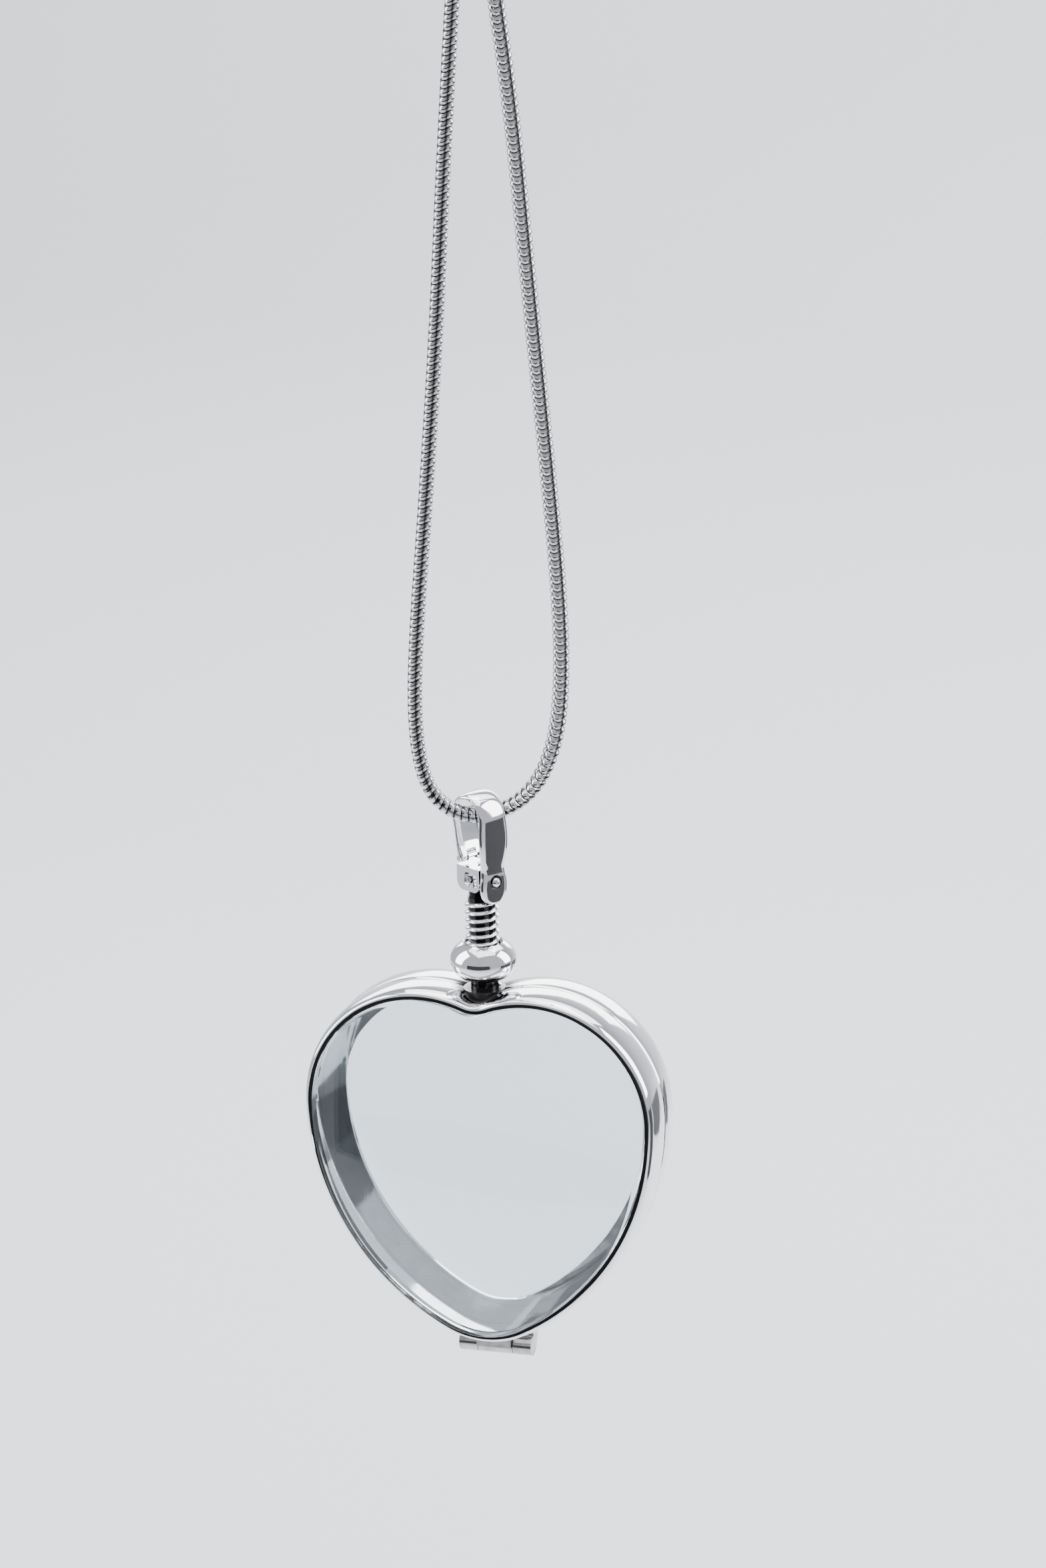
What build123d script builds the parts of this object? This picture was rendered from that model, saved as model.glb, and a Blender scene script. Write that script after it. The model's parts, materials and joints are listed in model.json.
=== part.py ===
from build123d import *
from math import cos, sin, tan, radians, pi, sqrt
import os

os.makedirs("parts", exist_ok=True)

# A heart locket with two crystals on a snake chain.
# Every shape is drawn about the point where the bail hangs on the chain, with
# +Z up and the heart facing -Y, and is lowered on export so that the origin is
# the top of the ring that the necklace hangs from.

# ---- Heart outline: the front edge of the glass, made of arcs ----
LOBE_RADIUS = 10.0
LOBE_OFFSET = 4.7  # centre of each lobe's arc, either side of the middle
LOBE_CENTRE_Z = -25.15
NOTCH_Z = -16.05
TIP_Z = -44.95
TIP_RADIUS = 7.0

# ---- Frames and crystals ----
HALF_DEPTH = 3.3  # one frame, from the seam to its lip
SEAM_GAP = 0.03  # between the closed frames
RIM_OUT = 0.55  # how far the frame stands outside the glass at the seam
RIM_TAPER = 3.0  # degrees that the frame's side leans in
RIM_ROUND = 0.33
WALL_IN = 0.35  # step that the crystal's edge rests on
LEDGE_IN = 1.7  # the rear frame's flat bezel inside the glass
LEDGE_THICK = 0.4
SEAT_DEPTH = 0.95  # depth of the crystal's seat in the frame
GASKET = 0.12
DOME_RADIUS = 70.0
DOME_RISE = 1.9  # the crystal's middle above the lip
CRYSTAL_THICK = 1.1
CRYSTAL_FOOT = 0.6  # the flat foot reaches this far inside the glass outline

# ---- Hinge under the heart's point ----
HINGE_Z = -46.55
KNUCKLE_RADIUS = 0.85
KNUCKLE_GAP = 0.05
HINGE_HALF_LENGTH = 3.15
MIDDLE_HALF_LENGTH = 1.5
HINGE_PIN_RADIUS = 0.3
RUNNING_GAP = 0.05
LEAF_WIDTH = 1.1
LEAF_HEIGHT = 2.0  # of the two outer knuckles' leaves
MIDDLE_LEAF_HEIGHT = 1.85

# ---- Threaded stud, lugs and ball nut ----
PITCH = 0.68
ROOT_RADIUS = 1.14
CREST_RADIUS = 1.42
RIDGE_BASE = 0.42
THREAD_TOP = -7.1
STUD_TOP = -6.62
NECK_RADIUS = 1.02
SPLIT_Z = -14.5  # below this the thread is shared by the two halves
COLLAR_TOP = -15.0
COLLAR_RADIUS = 1.75
COLLAR_DEPTH = 0.75
BALL_RADIUS = 2.74
BALL_HALF_HEIGHT = 1.82
BALL_Z = -12.6
BALL_HOLE = 1.6
BUSH_RADIUS = 2.0
BUSH_BORE = 1.48
BUSH_HALF = 0.9

# ---- Bail and swivel head, drawn facing +X and then turned ----
BAIL_TURN = -31.5
STRAP = 0.46
CROWN_RADIUS = 2.0
CROWN_Z = -0.2
FRONT_HALF_WIDTH = 1.45
WAIST_HALF_WIDTH = 1.22
WAIST_Z = -4.4
BACK_HALF_WIDTH = 1.2
FOOT_RADIUS = 1.4
FOOT_Z = -6.1
FOOT_OUT = 1.9  # outer face of the foot
CATCH_Z = -5.55
CATCH_RADIUS = 0.6
NIB_RADIUS = 0.3
BAIL_PIN = (-1.3, -3.95)
BAIL_KNUCKLE = 0.45
FORK_SLOT_RADIUS = 0.7  # room for the head's stem to swing in the bail's leg
BAIL_PIN_RADIUS = 0.22
TONGUE_HALF = 0.45
HEAD_BACK = -1.7
HEAD_FRONT = 1.1
HEAD_TOP = -4.5
HEAD_BOTTOM = -6.55
HEAD_HALF_WIDTH = 1.1
WINDOW_HALF = 0.77
WINDOW_TOP = -4.95
WINDOW_BOTTOM = -6.15
SWIVEL_RADIUS = 0.42

# ---- Chain ----
CHAIN_RADIUS = 0.71
CHAIN_TURN = 39.0  # degrees from +X to the chain's plane
CHAIN_ROUTE = [  # (along the chain's plane, height), left end to right end
    (0.66, 69.55),
    (-0.75, 55.5),
    (-1.95, 41.0),
    (-3.45, 26.8),
    (-4.95, 13.8),
    (-5.15, 6.8),
    (-4.25, 2.4),
    (-1.75, -0.02),
    (1.9, -0.35),
    (5.0, 1.2),
    (6.95, 4.8),
    (7.75, 10.5),
    (7.65, 18.8),
    (6.8, 31.5),
    (5.85, 44.5),
    (5.0, 57.5),
    (3.55, 70.0),
    (2.95, 78.75),
]

# ---- End caps, rings and clasp ----
CAP_RADIUS = 0.95
CAP_LENGTH = 3.0
CAP_OVERLAP = 1.6  # how far the chain goes into its cap
RING_WIRE = 0.25
EYE_RADIUS = 0.7
LEFT_RING_RADIUS = 1.5
RIGHT_RING_RADIUS = 2.6
CLASP_WIDTH = 4.6
CLASP_LENGTH = 9.2
CLASP_HALF_THICK = 0.65
CLASP_BAR = 0.75  # thickness of the claw's top, which the right ring hangs on
CLASP_EYE_HEIGHT = 1.45
CLASP_PIVOT = (-1.2, 2.6)
LEVER_THICK = 0.7


def write(name, shape):
    """Save one piece, lowered so that the origin is the hang point."""
    export_step(Pos(*(-HANG_POINT)) * shape, f"parts/{name}.step")


# ---------------------------------------------------------------- the heart


def heart(offset=0.0):
    """A heart face in the XZ plane, grown outwards by offset."""
    flank_radius = flank_arc_radius()
    flank = (LOBE_OFFSET + LOBE_RADIUS - flank_radius, LOBE_CENTRE_Z)
    tip = (0.0, TIP_Z + TIP_RADIUS)
    fillet_radius = notch_arc_radius()
    notch = (0.0, NOTCH_Z + fillet_radius)
    lobe = (LOBE_OFFSET, LOBE_CENTRE_Z)

    grown_notch = fillet_radius - offset
    to_lobe = direction(notch, lobe)
    p_notch = (0.0, notch[1] - grown_notch)
    p_join = point_on(notch, to_lobe, grown_notch)
    lobe_radius = LOBE_RADIUS + offset
    p_side = (lobe[0] + lobe_radius, lobe[1])
    to_side = radians(45)
    p_lobe = point_on(lobe, (cos(to_side), sin(to_side)), lobe_radius)
    to_tip = direction(flank, tip)
    big_radius = flank_radius + offset
    p_low = point_on(flank, to_tip, big_radius)
    half_way = direction(flank, ((p_side[0] + p_low[0]) / 2, (p_side[1] + p_low[1]) / 2))
    p_flank = point_on(flank, half_way, big_radius)
    p_tip = (0.0, tip[1] - TIP_RADIUS - offset)

    half_turn = direction(notch, ((p_notch[0] + p_join[0]) / 2, (p_notch[1] + p_join[1]) / 2))
    p_bend = point_on(notch, half_turn, grown_notch)
    tip_turn = direction(tip, ((p_low[0] + p_tip[0]) / 2, (p_low[1] + p_tip[1]) / 2))
    p_round = point_on(tip, tip_turn, TIP_RADIUS + offset)
    right = [
        ThreePointArc(p_notch, p_bend, p_join),
        ThreePointArc(p_join, p_lobe, p_side),
        ThreePointArc(p_side, p_flank, p_low),
        ThreePointArc(p_low, p_round, p_tip),
    ]
    left = [arc.mirror(Plane.YZ) for arc in right]
    return Plane.XZ * make_face(right + left)


def flank_arc_radius():
    """Radius of the side arc that meets the lobe and the rounded tip smoothly."""
    reach = LOBE_OFFSET + LOBE_RADIUS
    drop = LOBE_CENTRE_Z - (TIP_Z + TIP_RADIUS)
    return (reach**2 + drop**2 - TIP_RADIUS**2) / (2 * (reach - TIP_RADIUS))


def notch_arc_radius():
    """Radius of the hollow arc between the lobes."""
    rise = NOTCH_Z - LOBE_CENTRE_Z
    gap = LOBE_RADIUS**2 - LOBE_OFFSET**2 - rise**2
    return gap / (2 * (rise - LOBE_RADIUS))


def direction(start, end):
    """Unit vector in the plane, from start to end."""
    dx = end[0] - start[0]
    dz = end[1] - start[1]
    length = sqrt(dx * dx + dz * dz)
    return (dx / length, dz / length)


def point_on(centre, along, distance):
    """The point at a distance from a centre."""
    return (centre[0] + along[0] * distance, centre[1] + along[1] * distance)


def plate(offset, near, far):
    """A heart plate between two depths, measured from the seam towards -Y."""
    return Pos(0, -near, 0) * extrude(heart(offset), far - near)


def front_frame():
    """The front half: a tapered wall with a rounded lip and a glass seat."""
    block = Pos(0, -SEAM_GAP / 2, 0) * extrude(heart(RIM_OUT), HALF_DEPTH - SEAM_GAP / 2, taper=RIM_TAPER)
    lip = block.faces().sort_by(Axis.Y)[0]
    block = fillet(lip.edges(), RIM_ROUND)
    block -= plate(-WALL_IN, 0, HALF_DEPTH)
    block -= plate(0, HALF_DEPTH - SEAT_DEPTH, HALF_DEPTH + 1)
    return block


def rear_frame():
    """The rear half: the front one turned round, with a flat bezel inside."""
    block = front_frame().mirror(Plane.XZ)
    bezel_near = HALF_DEPTH - SEAT_DEPTH - LEDGE_THICK
    bezel = plate(-WALL_IN, bezel_near, bezel_near + LEDGE_THICK)
    bezel -= plate(-LEDGE_IN, bezel_near - 1, HALF_DEPTH)
    return block + bezel.mirror(Plane.XZ)


def crystal():
    """The front domed crystal: a spherical shell cut to a heart, with a flat foot."""
    centre = Pos(0, DOME_RADIUS - HALF_DEPTH - DOME_RISE, (NOTCH_Z + TIP_Z) / 2)
    seat = HALF_DEPTH - SEAT_DEPTH
    slab = plate(-GASKET, seat, seat + 5) & centre * Sphere(DOME_RADIUS)
    hollow = plate(-CRYSTAL_FOOT, seat - 1, seat + 5) & centre * Sphere(DOME_RADIUS - CRYSTAL_THICK)
    return slab - hollow


def gasket():
    """The thin dark seal round the front crystal."""
    seat = HALF_DEPTH - SEAT_DEPTH
    return plate(0, seat, HALF_DEPTH - 0.1) - plate(-GASKET, seat - 1, HALF_DEPTH)


# ---------------------------------------------------------------- the hinge


def knuckle(x_low, x_high, side, bore, leaf_height):
    """A hinge tube with the leaf that joins it to a frame; side is -1 or 1 in Y."""
    length = x_high - x_low
    tube = Pos(x_low, 0, HINGE_Z) * extrude(Plane.YZ * Circle(KNUCKLE_RADIUS), length)
    leaf = Box(length, LEAF_WIDTH, leaf_height, align=(Align.MIN, Align.MIN, Align.MIN))
    if side < 0:
        leaf = Pos(x_low, -LEAF_WIDTH - KNUCKLE_GAP, HINGE_Z) * leaf
    else:
        leaf = Pos(x_low, KNUCKLE_GAP, HINGE_Z) * leaf
    hole = Pos(x_low, 0, HINGE_Z) * extrude(Plane.YZ * Circle(bore), length)
    return tube + leaf - hole


def hinge_pin():
    """The pin through the knuckles, riveted flush at both ends."""
    length = 2 * HINGE_HALF_LENGTH
    pin = extrude(Plane.YZ * Circle(HINGE_PIN_RADIUS), length)
    return Pos(-HINGE_HALF_LENGTH, 0, HINGE_Z) * pin


# ------------------------------------------------------- the stud and the nut


def thread(z_low, z_high):
    """A right-hand round thread on its core, between two heights."""
    turns = Helix(pitch=PITCH, height=z_high - z_low - RIDGE_BASE, radius=ROOT_RADIUS)
    start = Plane(origin=turns @ 0, x_dir=(1, 0, 0), z_dir=turns % 0)
    half = RIDGE_BASE / 2
    height = CREST_RADIUS - ROOT_RADIUS
    sunk = 0.12
    ridge = make_face(
        [
            Line((-sunk, -half), (0, -half)),
            Spline((0, -half), (height, 0), (0, half), tangents=[(1, 0.6), (-1, 0.6)]),
            Line((0, half), (-sunk, half)),
            Line((-sunk, half), (-sunk, -half)),
        ]
    )
    coil = sweep(start * ridge, path=turns, is_frenet=True)
    core = extrude(Circle(ROOT_RADIUS), z_high - z_low)
    return Pos(0, 0, z_low) * (core + Pos(0, 0, half) * coil)


def side_half(side):
    """A block that keeps only one side of the seam."""
    keep = Box(20, 10, 40, align=(Align.CENTER, Align.MIN, Align.CENTER))
    keep = Pos(0, SEAM_GAP / 2, -10) * keep
    return keep if side > 0 else keep.mirror(Plane.XZ)


def collar(side, frame):
    """The half-round boss soldered on the notch of one frame."""
    boss = Pos(0, 0, COLLAR_TOP - COLLAR_DEPTH) * extrude(Circle(COLLAR_RADIUS), COLLAR_DEPTH)
    return (boss & side_half(side)) - frame


def split_thread():
    """The short lowest thread, before it is parted between the halves."""
    return thread(COLLAR_TOP, SPLIT_Z - KNUCKLE_GAP)


def stud():
    """The stud: half a thread at its foot, a whole one above, and a neck."""
    foot = split_thread() & side_half(1)
    bridge = Pos(0, 0, SPLIT_Z - KNUCKLE_GAP) * extrude(Circle(ROOT_RADIUS), KNUCKLE_GAP)
    bridge &= side_half(1)
    screw = thread(SPLIT_Z, THREAD_TOP)
    neck = Pos(0, 0, THREAD_TOP) * extrude(Circle(NECK_RADIUS), STUD_TOP - THREAD_TOP)
    pivot_hole = Pos(0, 0, STUD_TOP - 1.2) * extrude(Circle(SWIVEL_RADIUS), 1.2)
    return foot + bridge + screw + neck - pivot_hole


def swivel_rivet():
    """The headed rivet that holds the swivel head on the stud."""
    shank_low = STUD_TOP - 1.2
    head_low = WINDOW_BOTTOM + RUNNING_GAP
    shank = Pos(0, 0, shank_low) * extrude(Circle(SWIVEL_RADIUS), head_low - shank_low)
    cap = Pos(0, 0, head_low) * extrude(Circle(0.64), 0.5)
    cap = fillet(cap.edges().sort_by(Axis.Z)[-1], 0.2)
    return shank + cap


def ellipse_solid():
    """The flattened ball before it is bored."""
    arc = EllipticalCenterArc((0, 0), BALL_RADIUS, BALL_HALF_HEIGHT, start_angle=-90, arc_size=180)
    axis_line = Line((0, BALL_HALF_HEIGHT), (0, -BALL_HALF_HEIGHT))
    section = Plane.XZ * make_face([arc, axis_line])
    return Pos(0, 0, BALL_Z) * revolve(section, Axis.Z)


def ball_shell():
    """The polished ball, bored for the stud and hollowed for its bush."""
    room = RUNNING_GAP
    ball = ellipse_solid()
    ball -= Pos(0, 0, BALL_Z) * Cylinder(BALL_HOLE, 2 * BALL_RADIUS)
    ball -= Pos(0, 0, BALL_Z) * Cylinder(BUSH_RADIUS + room, 2 * (BUSH_HALF + room))
    return ball


def nut_bush():
    """The bush inside the ball that runs on the stud's thread."""
    bush = Cylinder(BUSH_RADIUS, 2 * BUSH_HALF) - Cylinder(BUSH_BORE, 2 * BUSH_HALF)
    return Pos(0, 0, BALL_Z) * bush


# ---------------------------------------------------- the bail and its head


def turned(shape):
    """Turn a piece of the bail from facing +X to its place."""
    return Rot(0, 0, BAIL_TURN) * shape


def across(face, half_width):
    """Draw a side-view face in XZ out to both sides."""
    return extrude(Plane.XZ * face, half_width, both=True)


def strap_profile():
    """Side view of the bail: back leg, crown, bowed front leg and foot."""
    inner = CROWN_RADIUS - STRAP
    foot_in = FOOT_OUT - STRAP
    low = FOOT_Z - FOOT_RADIUS
    pin_x, pin_z = BAIL_PIN
    return make_face(
        [
            Line((pin_x - BAIL_KNUCKLE, pin_z), (-CROWN_RADIUS, CROWN_Z)),
            ThreePointArc((-CROWN_RADIUS, CROWN_Z), (0, CROWN_Z + CROWN_RADIUS), (CROWN_RADIUS, CROWN_Z)),
            ThreePointArc((CROWN_RADIUS, CROWN_Z), (2.13, -2.3), (1.93, -4.1)),
            ThreePointArc((1.93, -4.1), (1.76, -4.65), (FOOT_OUT, -5.2)),
            Line((FOOT_OUT, -5.2), (FOOT_OUT, low)),
            Line((FOOT_OUT, low), (foot_in, low)),
            Line((foot_in, low), (foot_in, -5.2)),
            ThreePointArc((foot_in, -5.2), (1.27, -4.6), (1.45, -4.0)),
            ThreePointArc((1.45, -4.0), (1.63, -2.3), (inner, CROWN_Z)),
            ThreePointArc((inner, CROWN_Z), (0, CROWN_Z + inner), (-inner, CROWN_Z)),
            Line((-inner, CROWN_Z), (pin_x + 0.1, pin_z + BAIL_KNUCKLE)),
            Line((pin_x + 0.1, pin_z + BAIL_KNUCKLE), (pin_x, pin_z)),
            Line((pin_x, pin_z), (pin_x - BAIL_KNUCKLE, pin_z)),
        ]
    )


def front_outline():
    """Front view of the bail's front leg: a strap, a waist and a round foot."""
    top = CROWN_Z + CROWN_RADIUS + 0.1
    side = [
        Line((0, top), (FRONT_HALF_WIDTH, top)),
        Line((FRONT_HALF_WIDTH, top), (FRONT_HALF_WIDTH, -0.6)),
        Spline((FRONT_HALF_WIDTH, -0.6), (WAIST_HALF_WIDTH, WAIST_Z), tangents=[(0, -1), (0, -1)]),
        Line((WAIST_HALF_WIDTH, WAIST_Z), (WAIST_HALF_WIDTH, FOOT_Z)),
        Line((WAIST_HALF_WIDTH, FOOT_Z), (0, FOOT_Z)),
        Line((0, FOOT_Z), (0, top)),
    ]
    half = make_face(side)
    foot = Pos(0, FOOT_Z) * Circle(FOOT_RADIUS)
    return Plane.YZ * (half + half.mirror(Plane.YZ) + foot)


def back_outline():
    """Front view of the narrower back leg, tapering from the crown."""
    top = CROWN_Z + CROWN_RADIUS + 0.1
    low = BAIL_PIN[1] - 1
    taper = [
        (-FRONT_HALF_WIDTH, top),
        (FRONT_HALF_WIDTH, top),
        (FRONT_HALF_WIDTH, 0.6),
        (BACK_HALF_WIDTH, -1.6),
        (BACK_HALF_WIDTH, low),
        (-BACK_HALF_WIDTH, low),
        (-BACK_HALF_WIDTH, -1.6),
        (-FRONT_HALF_WIDTH, 0.6),
    ]
    return Plane.YZ * make_face(Polyline(*taper, close=True))


def bail():
    """The bail: one bent strap with a forked hinge end and a round foot."""
    pin_x, pin_z = BAIL_PIN
    strap = across(strap_profile(), 2)
    front = extrude(front_outline(), 5)
    back = extrude(back_outline(), -5)
    leg = strap & (front + back)
    barrel = Pos(pin_x, 0, pin_z) * across(Circle(BAIL_KNUCKLE), BACK_HALF_WIDTH)
    leg += barrel
    slot = Pos(pin_x, 0, pin_z) * across(Circle(FORK_SLOT_RADIUS), TONGUE_HALF + RUNNING_GAP)
    leg -= slot
    leg -= Pos(pin_x, 0, pin_z) * across(Circle(BAIL_PIN_RADIUS), 2)
    leg -= Pos(FOOT_OUT - STRAP - 0.1, 0, CATCH_Z) * extrude(Plane.YZ * Circle(CATCH_RADIUS), STRAP + 0.2)
    return turned(leg)


def catch_ball():
    """The ball set in the bail's foot, with the nib that clicks into the head."""
    reach = FOOT_OUT - STRAP
    plug = Pos(reach, 0, CATCH_Z) * extrude(Plane.YZ * Circle(CATCH_RADIUS), 0.2)
    bead = Pos(reach + 0.42, 0, CATCH_Z) * Sphere(0.42)
    nib = Pos(reach - 0.1, 0, CATCH_Z) * Sphere(NIB_RADIUS)
    return turned(plug + bead + nib)


def bail_hinge_pin():
    """The pin that joins the back leg's fork to the head's tongue."""
    pin_x, pin_z = BAIL_PIN
    return turned(Pos(pin_x, 0, pin_z) * across(Circle(BAIL_PIN_RADIUS), BACK_HALF_WIDTH))


def swivel_head():
    """The stirrup on top of the stud, with the tongue for the bail's hinge."""
    pin_x, pin_z = BAIL_PIN
    middle_x = (HEAD_BACK + HEAD_FRONT) / 2
    middle_z = (HEAD_TOP + HEAD_BOTTOM) / 2
    outline = Rectangle(HEAD_FRONT - HEAD_BACK, HEAD_TOP - HEAD_BOTTOM)
    outline = fillet(outline.vertices().group_by(Axis.Y)[0], 0.75)
    block = Pos(middle_x, 0, middle_z) * across(outline, HEAD_HALF_WIDTH)
    window = RectangleRounded(2 * WINDOW_HALF, WINDOW_TOP - WINDOW_BOTTOM, 0.4)
    block -= Pos(0, 0, (WINDOW_TOP + WINDOW_BOTTOM) / 2) * across(window, 2)
    block -= Pos(0, 0, HEAD_BOTTOM - 0.1) * extrude(Circle(SWIVEL_RADIUS + RUNNING_GAP), 0.8)
    block -= Pos(HEAD_FRONT + 0.12, 0, CATCH_Z) * Sphere(0.38)
    tongue = Pos(pin_x, 0, pin_z) * across(Circle(BAIL_KNUCKLE), TONGUE_HALF)
    stem = Rectangle(2 * BAIL_KNUCKLE, pin_z - HEAD_TOP + 0.1, align=(Align.CENTER, Align.MAX))
    tongue += Pos(pin_x, 0, pin_z) * across(stem, TONGUE_HALF)
    block += tongue
    block -= Pos(pin_x, 0, pin_z) * across(Circle(BAIL_PIN_RADIUS + RUNNING_GAP), 2)
    return turned(block)


# ---------------------------------------------------------------- the chain


def on_chain(along, height, side=0.0):
    """A point in the chain's upright plane, or beside it."""
    turn = radians(CHAIN_TURN)
    x = along * cos(turn) - side * sin(turn)
    y = along * sin(turn) + side * cos(turn)
    return Vector(x, y, height)


def corner_radii(points):
    """The largest smooth radius for each corner of a route."""
    radii = []
    for before, here, after in zip(points, points[1:], points[2:]):
        arriving = here - before
        leaving = after - here
        half_turn = radians(arriving.get_angle(leaving)) / 2
        radii.append(0.45 * min(arriving.length, leaving.length) / tan(half_turn))
    return radii


def chain_tube():
    """The snake chain as a plain tube along its route."""
    points = [on_chain(*place) for place in CHAIN_ROUTE]
    radii = corner_radii(points)
    print("chain radii, mm:", [round(r, 1) for r in radii])
    path = FilletPolyline(*points, radius=radii)
    tube = sweep(Plane(origin=path @ 0, z_dir=path % 0) * Circle(CHAIN_RADIUS), path=path)
    section = pi * CHAIN_RADIUS**2 * path.length
    print(f"chain length {path.length:.1f} mm, volume {tube.volume:.2f}, section times length {section:.2f}")
    return tube


def end_frame(index):
    """A plane at one end of the route, looking out of the chain's end."""
    ends = [on_chain(*place) for place in CHAIN_ROUTE]
    here, before = (ends[0], ends[1]) if index == 0 else (ends[-1], ends[-2])
    side = on_chain(0, 0, 1)
    return Plane(origin=here, x_dir=side, z_dir=here - before)


def end_cap(index):
    """A crimped cap over one end of the chain, with a wire eye on top."""
    length = CAP_LENGTH
    cap = Pos(0, 0, -CAP_OVERLAP) * extrude(Circle(CAP_RADIUS), length)
    cap = fillet(cap.edges().sort_by(Axis.Z)[-1], 0.3)
    cap -= Pos(0, 0, -CAP_OVERLAP) * extrude(Circle(CHAIN_RADIUS), CAP_OVERLAP)
    eye = Pos(0, 0, length - CAP_OVERLAP + EYE_RADIUS - 0.1) * Rot(90, 0, 0) * Torus(EYE_RADIUS, RING_WIRE)
    return end_frame(index) * (cap + eye)


def eye_centre(index):
    """The middle of an end cap's eye."""
    frame = end_frame(index)
    return frame.origin + frame.z_dir * (CAP_LENGTH - CAP_OVERLAP + EYE_RADIUS - 0.1)


def ring(centre, radius):
    """A jump ring standing upright in the chain's plane."""
    return Pos(*centre) * Rot(0, 0, CHAIN_TURN) * Rot(90, 0, 0) * Torus(radius, RING_WIRE)


LEFT_EYE = eye_centre(0)
LEFT_RING = LEFT_EYE + Vector(0, 0, LEFT_RING_RADIUS + 0.15)
CLASP_BOTTOM = LEFT_RING.Z + 1.37 - CLASP_EYE_HEIGHT


def right_ring_centre():
    """The big ring: the claw's bar and the right cap's eye both hang low in it."""
    eye = eye_centre(1)
    turn = radians(CHAIN_TURN)
    eye_along = eye.X * cos(turn) + eye.Y * sin(turn)
    clasp_along = LEFT_RING.X * cos(turn) + LEFT_RING.Y * sin(turn)
    half_gap = (eye_along - clasp_along) / 2
    rise = sqrt(RIGHT_RING_RADIUS**2 - half_gap**2)
    return on_chain(eye_along - half_gap, eye.Z + 0.05 + rise)


HANG_POINT = right_ring_centre() + Vector(0, 0, RIGHT_RING_RADIUS - RING_WIRE)


def clasp_place(shape):
    """Stand a clasp piece, drawn flat in XY, upright across the chain's plane."""
    foot = Vector(LEFT_RING.X, LEFT_RING.Y, CLASP_BOTTOM)
    upright = Plane(origin=foot, x_dir=on_chain(0, 0, 1), z_dir=on_chain(1, 0))
    return upright * Pos(0, 0, -CLASP_HALF_THICK) * shape


def clasp_outline():
    """The claw's outer shape, with its foot at the origin and its tip up."""
    half = CLASP_WIDTH / 2
    body = Pos(0, CLASP_LENGTH - half) * Circle(half)
    body += Pos(0, CLASP_EYE_HEIGHT + 0.1) * Circle(1.0)
    flank = [(-0.95, 1.4), (0.95, 1.4), (half, 6.0), (half, 7.0), (-half, 7.0), (-half, 6.0)]
    body += make_face(Polyline(*flank, close=True))
    return body


def clasp_body():
    """The cast claw: an eye below, a hook above and an open side."""
    full = 2 * CLASP_HALF_THICK
    claw = extrude(clasp_outline(), full)
    room_high = 4.0
    room_middle = CLASP_LENGTH - CLASP_BAR - room_high / 2
    claw -= extrude(Pos(0.1, room_middle) * SlotOverall(room_high, 2.6, rotation=90), full)
    claw -= extrude(Pos(-1.85, 5.1) * Rectangle(1.7, 4.0), full)
    claw -= extrude(Pos(0, CLASP_EYE_HEIGHT) * Circle(0.45), full)
    lever_slot = extrude(Pos(-1.2, 3.9) * Rectangle(2.6, 3.8), LEVER_THICK + 0.1)
    claw -= Pos(0, 0, CLASP_HALF_THICK - LEVER_THICK / 2 - 0.05) * lever_slot
    claw -= extrude(Pos(*CLASP_PIVOT) * Circle(0.25), full)
    return clasp_place(claw)


def clasp_lever():
    """The thumb lever that closes the claw."""
    sides = [(-1.6, 2.3), (-0.75, 2.3), (-1.1, 4.6), (-1.6, 6.85), (-2.1, 6.85), (-2.2, 5.0)]
    arm = make_face(Polyline(*sides, close=True))
    thumb = Pos(-2.2, 3.4) * Circle(0.55)
    knob = Pos(*CLASP_PIVOT) * Circle(0.5)
    lever = extrude(arm + thumb + knob, LEVER_THICK)
    lever -= extrude(Pos(*CLASP_PIVOT) * Circle(0.29), LEVER_THICK)
    return clasp_place(Pos(0, 0, CLASP_HALF_THICK - LEVER_THICK / 2) * lever)


def clasp_rivet():
    """The rivet that the lever turns on."""
    return clasp_place(Pos(*CLASP_PIVOT) * extrude(Circle(0.25), 2 * CLASP_HALF_THICK))


# ------------------------------------------------------------------ assembly

front = front_frame()
rear = rear_frame()
write("front_frame", front)
write("rear_frame", rear)
write("front_crystal", crystal())
write("rear_crystal", crystal().mirror(Plane.XZ))
write("front_crystal_gasket", gasket())
write("rear_crystal_gasket", gasket().mirror(Plane.XZ))

outer_start = MIDDLE_HALF_LENGTH + KNUCKLE_GAP
middle_bore = HINGE_PIN_RADIUS + RUNNING_GAP
left = knuckle(-HINGE_HALF_LENGTH, -outer_start, 1, HINGE_PIN_RADIUS, LEAF_HEIGHT)
right = knuckle(outer_start, HINGE_HALF_LENGTH, 1, HINGE_PIN_RADIUS, LEAF_HEIGHT)
middle = knuckle(-MIDDLE_HALF_LENGTH, MIDDLE_HALF_LENGTH, -1, middle_bore, MIDDLE_LEAF_HEIGHT)
write("hinge_knuckle_left", left - rear)
write("hinge_knuckle_right", right - rear)
write("hinge_knuckle_middle", middle - front)
write("hinge_pin", hinge_pin())

write("front_half_lug", split_thread() & side_half(-1))
write("front_collar", collar(-1, front))
write("rear_collar", collar(1, rear))
write("threaded_stud", stud())
write("swivel_rivet", swivel_rivet())
write("nut_bush", nut_bush())
write("ball_shell", ball_shell())

write("swivel_head", swivel_head())
write("bail_strap", bail())
write("bail_hinge_pin", bail_hinge_pin())
write("bail_catch_ball", catch_ball())

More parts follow.
